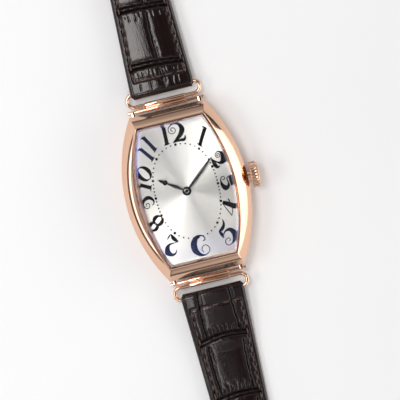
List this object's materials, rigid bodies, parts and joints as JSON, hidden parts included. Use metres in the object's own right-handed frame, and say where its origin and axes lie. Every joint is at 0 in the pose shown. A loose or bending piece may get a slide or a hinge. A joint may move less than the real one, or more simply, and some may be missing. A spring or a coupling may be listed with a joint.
{
  "type": "wristwatch",
  "caption": "Tonneau wristwatch with a polished bevelled case, a hand-wound movement, hinged wire loops and a padded leather strap with pin buckle.",
  "frame": {"origin": "centre of the flat outer face of the case back", "axes": "+Z out of the dial, +Y towards 12 o'clock, +X towards 3 o'clock and the crown"},
  "size_m": [0.0347, 0.253, 0.0083],
  "materials": {
    "rose_gold": "polished rose gold",
    "steel": "satin steel",
    "brass": "satin brass",
    "blued_steel": "polished black steel",
    "silver_dial": "radially brushed silver",
    "crystal": "clear crystal, coated",
    "ruby": "polished ruby",
    "rubber": "matt rubber",
    "strap_leather": "glossy embossed leather",
    "lining_leather": "smooth leather"
  },
  "bodies": {
    "case": {"case_middle": "rose_gold", "bezel": "rose_gold", "crystal": "crystal", "crystal_gasket": "rubber", "case_back": "rose_gold", "back_gasket": "rubber", "back_screws": "steel", "flange_ring": "rose_gold", "dial": "silver_dial", "crown_tube": "rose_gold", "upper_lug_bar": "rose_gold", "lower_lug_bar": "rose_gold", "movement_ring": "steel", "main_plate": "brass", "barrel_bridge": "steel", "train_bridge": "steel", "balance_cock": "steel", "pallet_bridge": "steel", "bridge_screws": "blued_steel", "jewels": "ruby", "hairspring": "blued_steel"},
    "crown_slide": {"crown_gasket": "rubber"},
    "crown": {"crown": "rose_gold", "winding_stem": "steel"},
    "winding_pinion": {"winding_pinion": "steel"},
    "yoke": {"yoke": "steel"},
    "sliding_pinion": {"sliding_pinion": "steel"},
    "setting_lever": {"setting_lever": "steel"},
    "crown_wheel": {"crown_wheel": "steel"},
    "ratchet": {"ratchet_wheel": "steel", "barrel_arbor": "steel"},
    "click": {"click": "steel"},
    "barrel": {"barrel": "brass", "mainspring": "steel"},
    "centre_wheel": {"centre_wheel": "brass"},
    "third_wheel": {"third_wheel": "brass"},
    "fourth_wheel": {"fourth_wheel": "brass"},
    "escape_wheel": {"escape_wheel": "steel"},
    "pallet_fork": {"pallet_fork": "steel"},
    "balance": {"balance_wheel": "brass"},
    "minute_hand": {"cannon_pinion": "steel", "minute_hand": "blued_steel"},
    "minute_wheel": {"minute_wheel": "brass"},
    "hour_hand": {"hour_wheel": "brass", "hour_hand": "blued_steel"},
    "setting_wheel": {"setting_wheel": "steel"},
    "upper_link": {"upper_lug_link": "rose_gold"},
    "lower_link": {"lower_lug_link": "rose_gold"},
    "upper_loop": {"upper_wire_loop": "rose_gold"},
    "lower_loop": {"lower_wire_loop": "rose_gold"},
    "upper_strap": {"upper_strap": "strap_leather", "upper_lining": "lining_leather", "fixed_keeper": "strap_leather"},
    "lower_strap": {"lower_strap": "strap_leather", "lower_lining": "lining_leather"},
    "free_keeper": {"free_keeper": "strap_leather"},
    "buckle": {"buckle_frame": "rose_gold", "buckle_pin": "steel"},
    "tongue": {"buckle_tongue": "rose_gold"}
  },
  "joints": [
    {"name": "crown_pull", "type": "slide", "parent": "case", "child": "crown_slide", "axis": [1, 0, 0], "range_m": [0, 0.0006]},
    {"name": "crown_turn", "type": "hinge", "parent": "crown_slide", "child": "crown", "pos_m": [0.017, 0, 0.0035], "axis": [1, 0, 0], "continuous": true},
    {"name": "winding_pinion_turn", "type": "hinge", "parent": "case", "child": "winding_pinion", "pos_m": [0.00975, 0, 0.0035], "axis": [1, 0, 0], "continuous": true},
    {"name": "yoke_shift", "type": "slide", "parent": "case", "child": "yoke", "axis": [1, 0, 0], "range_m": [-0.0003, 0]},
    {"name": "sliding_pinion_turn", "type": "hinge", "parent": "yoke", "child": "sliding_pinion", "pos_m": [0.0087, 0, 0.0035], "axis": [1, 0, 0], "continuous": true},
    {"name": "setting_lever_swing", "type": "hinge", "parent": "case", "child": "setting_lever", "pos_m": [0.0106, -0.0026, 0.0043], "axis": [0, 0, -1], "range_deg": [0, 14]},
    {"name": "crown_wheel_turn", "type": "hinge", "parent": "case", "child": "crown_wheel", "pos_m": [0.0071, 0, 0.0012], "axis": [0, 0, 1], "continuous": true},
    {"name": "ratchet_turn", "type": "hinge", "parent": "case", "child": "ratchet", "pos_m": [0.00051, 0.00583, 0.0012], "axis": [0, 0, 1], "continuous": true},
    {"name": "click_swing", "type": "hinge", "parent": "case", "child": "click", "pos_m": [-0.00512, 0.00908, 0.0012], "axis": [0, 0, 1], "range_deg": [0, 12], "stiffness_Nm_per_rad": 0.0001},
    {"name": "barrel_turn", "type": "hinge", "parent": "case", "child": "barrel", "pos_m": [0.00051, 0.00583, 0.0023], "axis": [0, 0, 1], "continuous": true},
    {"name": "centre_wheel_turn", "type": "hinge", "parent": "case", "child": "centre_wheel", "pos_m": [0, 0, 0.0029], "axis": [0, 0, 1], "continuous": true},
    {"name": "third_wheel_turn", "type": "hinge", "parent": "case", "child": "third_wheel", "pos_m": [0.00268, -0.00383, 0.0025], "axis": [0, 0, 1], "continuous": true},
    {"name": "fourth_wheel_turn", "type": "hinge", "parent": "case", "child": "fourth_wheel", "pos_m": [-0.00024, -0.0063, 0.0022], "axis": [0, 0, 1], "continuous": true},
    {"name": "escape_wheel_turn", "type": "hinge", "parent": "case", "child": "escape_wheel", "pos_m": [-0.00294, -0.00441, 0.0027], "axis": [0, 0, 1], "continuous": true},
    {"name": "pallet_fork_swing", "type": "hinge", "parent": "case", "child": "pallet_fork", "pos_m": [-0.00474, -0.00226, 0.0027], "axis": [0, 0, 1], "range_deg": [-3, 3]},
    {"name": "balance_swing", "type": "hinge", "parent": "case", "child": "balance", "pos_m": [-0.00685, -0.00013, 0.0023], "axis": [0, 0, 1], "range_deg": [-270, 270], "stiffness_Nm_per_rad": 0.000001},
    {"name": "minute_hand_turn", "type": "hinge", "parent": "case", "child": "minute_hand", "pos_m": [0, 0, 0.005], "axis": [0, 0, 1], "continuous": true},
    {"name": "minute_wheel_turn", "type": "hinge", "parent": "case", "child": "minute_wheel", "pos_m": [0.0024, 0, 0.0044], "axis": [0, 0, 1], "continuous": true},
    {"name": "hour_hand_turn", "type": "hinge", "parent": "case", "child": "hour_hand", "pos_m": [0, 0, 0.005], "axis": [0, 0, 1], "continuous": true},
    {"name": "setting_wheel_turn", "type": "hinge", "parent": "case", "child": "setting_wheel", "pos_m": [0.00595, 0, 0.0044], "axis": [0, 0, 1], "continuous": true},
    {"name": "upper_link_swing", "type": "hinge", "parent": "case", "child": "upper_link", "pos_m": [0, 0.0222, 0.0023], "axis": [1, 0, 0], "range_deg": [-20, 20]},
    {"name": "upper_loop_swing", "type": "hinge", "parent": "upper_link", "child": "upper_loop", "pos_m": [0, 0.0234, 0.0023], "axis": [1, 0, 0], "range_deg": [-45, 45]},
    {"name": "upper_strap_swing", "type": "hinge", "parent": "upper_loop", "child": "upper_strap", "pos_m": [0, 0.0267, 0.0023], "axis": [1, 0, 0], "range_deg": [-35, 35]},
    {"name": "lower_link_swing", "type": "hinge", "parent": "case", "child": "lower_link", "pos_m": [0, -0.0222, 0.0023], "axis": [-1, 0, 0], "range_deg": [-20, 20]},
    {"name": "lower_loop_swing", "type": "hinge", "parent": "lower_link", "child": "lower_loop", "pos_m": [0, -0.0234, 0.0023], "axis": [-1, 0, 0], "range_deg": [-45, 45]},
    {"name": "lower_strap_swing", "type": "hinge", "parent": "lower_loop", "child": "lower_strap", "pos_m": [0, -0.0267, 0.0023], "axis": [-1, 0, 0], "range_deg": [-35, 35]},
    {"name": "free_keeper_slide", "type": "slide", "parent": "upper_strap", "child": "free_keeper", "axis": [0, 1, 0], "range_m": [-0.02, 0.0055]},
    {"name": "buckle_swing", "type": "hinge", "parent": "upper_strap", "child": "buckle", "pos_m": [0, 0.1017, 0.00225], "axis": [1, 0, 0], "range_deg": [-75, 110]},
    {"name": "tongue_swing", "type": "hinge", "parent": "buckle", "child": "tongue", "pos_m": [0, 0.1017, 0.00225], "axis": [1, 0, 0], "range_deg": [0, 100]}
  ],
  "couplings": [
    {"joint": "winding_pinion_turn", "follows": "crown_turn", "ratio": 1},
    {"joint": "sliding_pinion_turn", "follows": "crown_turn", "ratio": 1},
    {"joint": "crown_wheel_turn", "follows": "crown_turn", "ratio": 0.5},
    {"joint": "ratchet_turn", "follows": "crown_turn", "ratio": -0.35714},
    {"joint": "yoke_shift", "follows": "crown_pull", "ratio": -0.5},
    {"joint": "setting_lever_swing", "follows": "crown_pull", "rad_per_m": 388.11},
    {"joint": "third_wheel_turn", "follows": "fourth_wheel_turn", "ratio": -0.125},
    {"joint": "centre_wheel_turn", "follows": "fourth_wheel_turn", "ratio": 0.016667},
    {"joint": "barrel_turn", "follows": "fourth_wheel_turn", "ratio": -0.0025641},
    {"joint": "escape_wheel_turn", "follows": "fourth_wheel_turn", "ratio": -10},
    {"joint": "minute_wheel_turn", "follows": "minute_hand_turn", "ratio": -0.33333},
    {"joint": "hour_hand_turn", "follows": "minute_hand_turn", "ratio": 0.083333},
    {"joint": "setting_wheel_turn", "follows": "minute_hand_turn", "ratio": 0.34286}
  ]
}
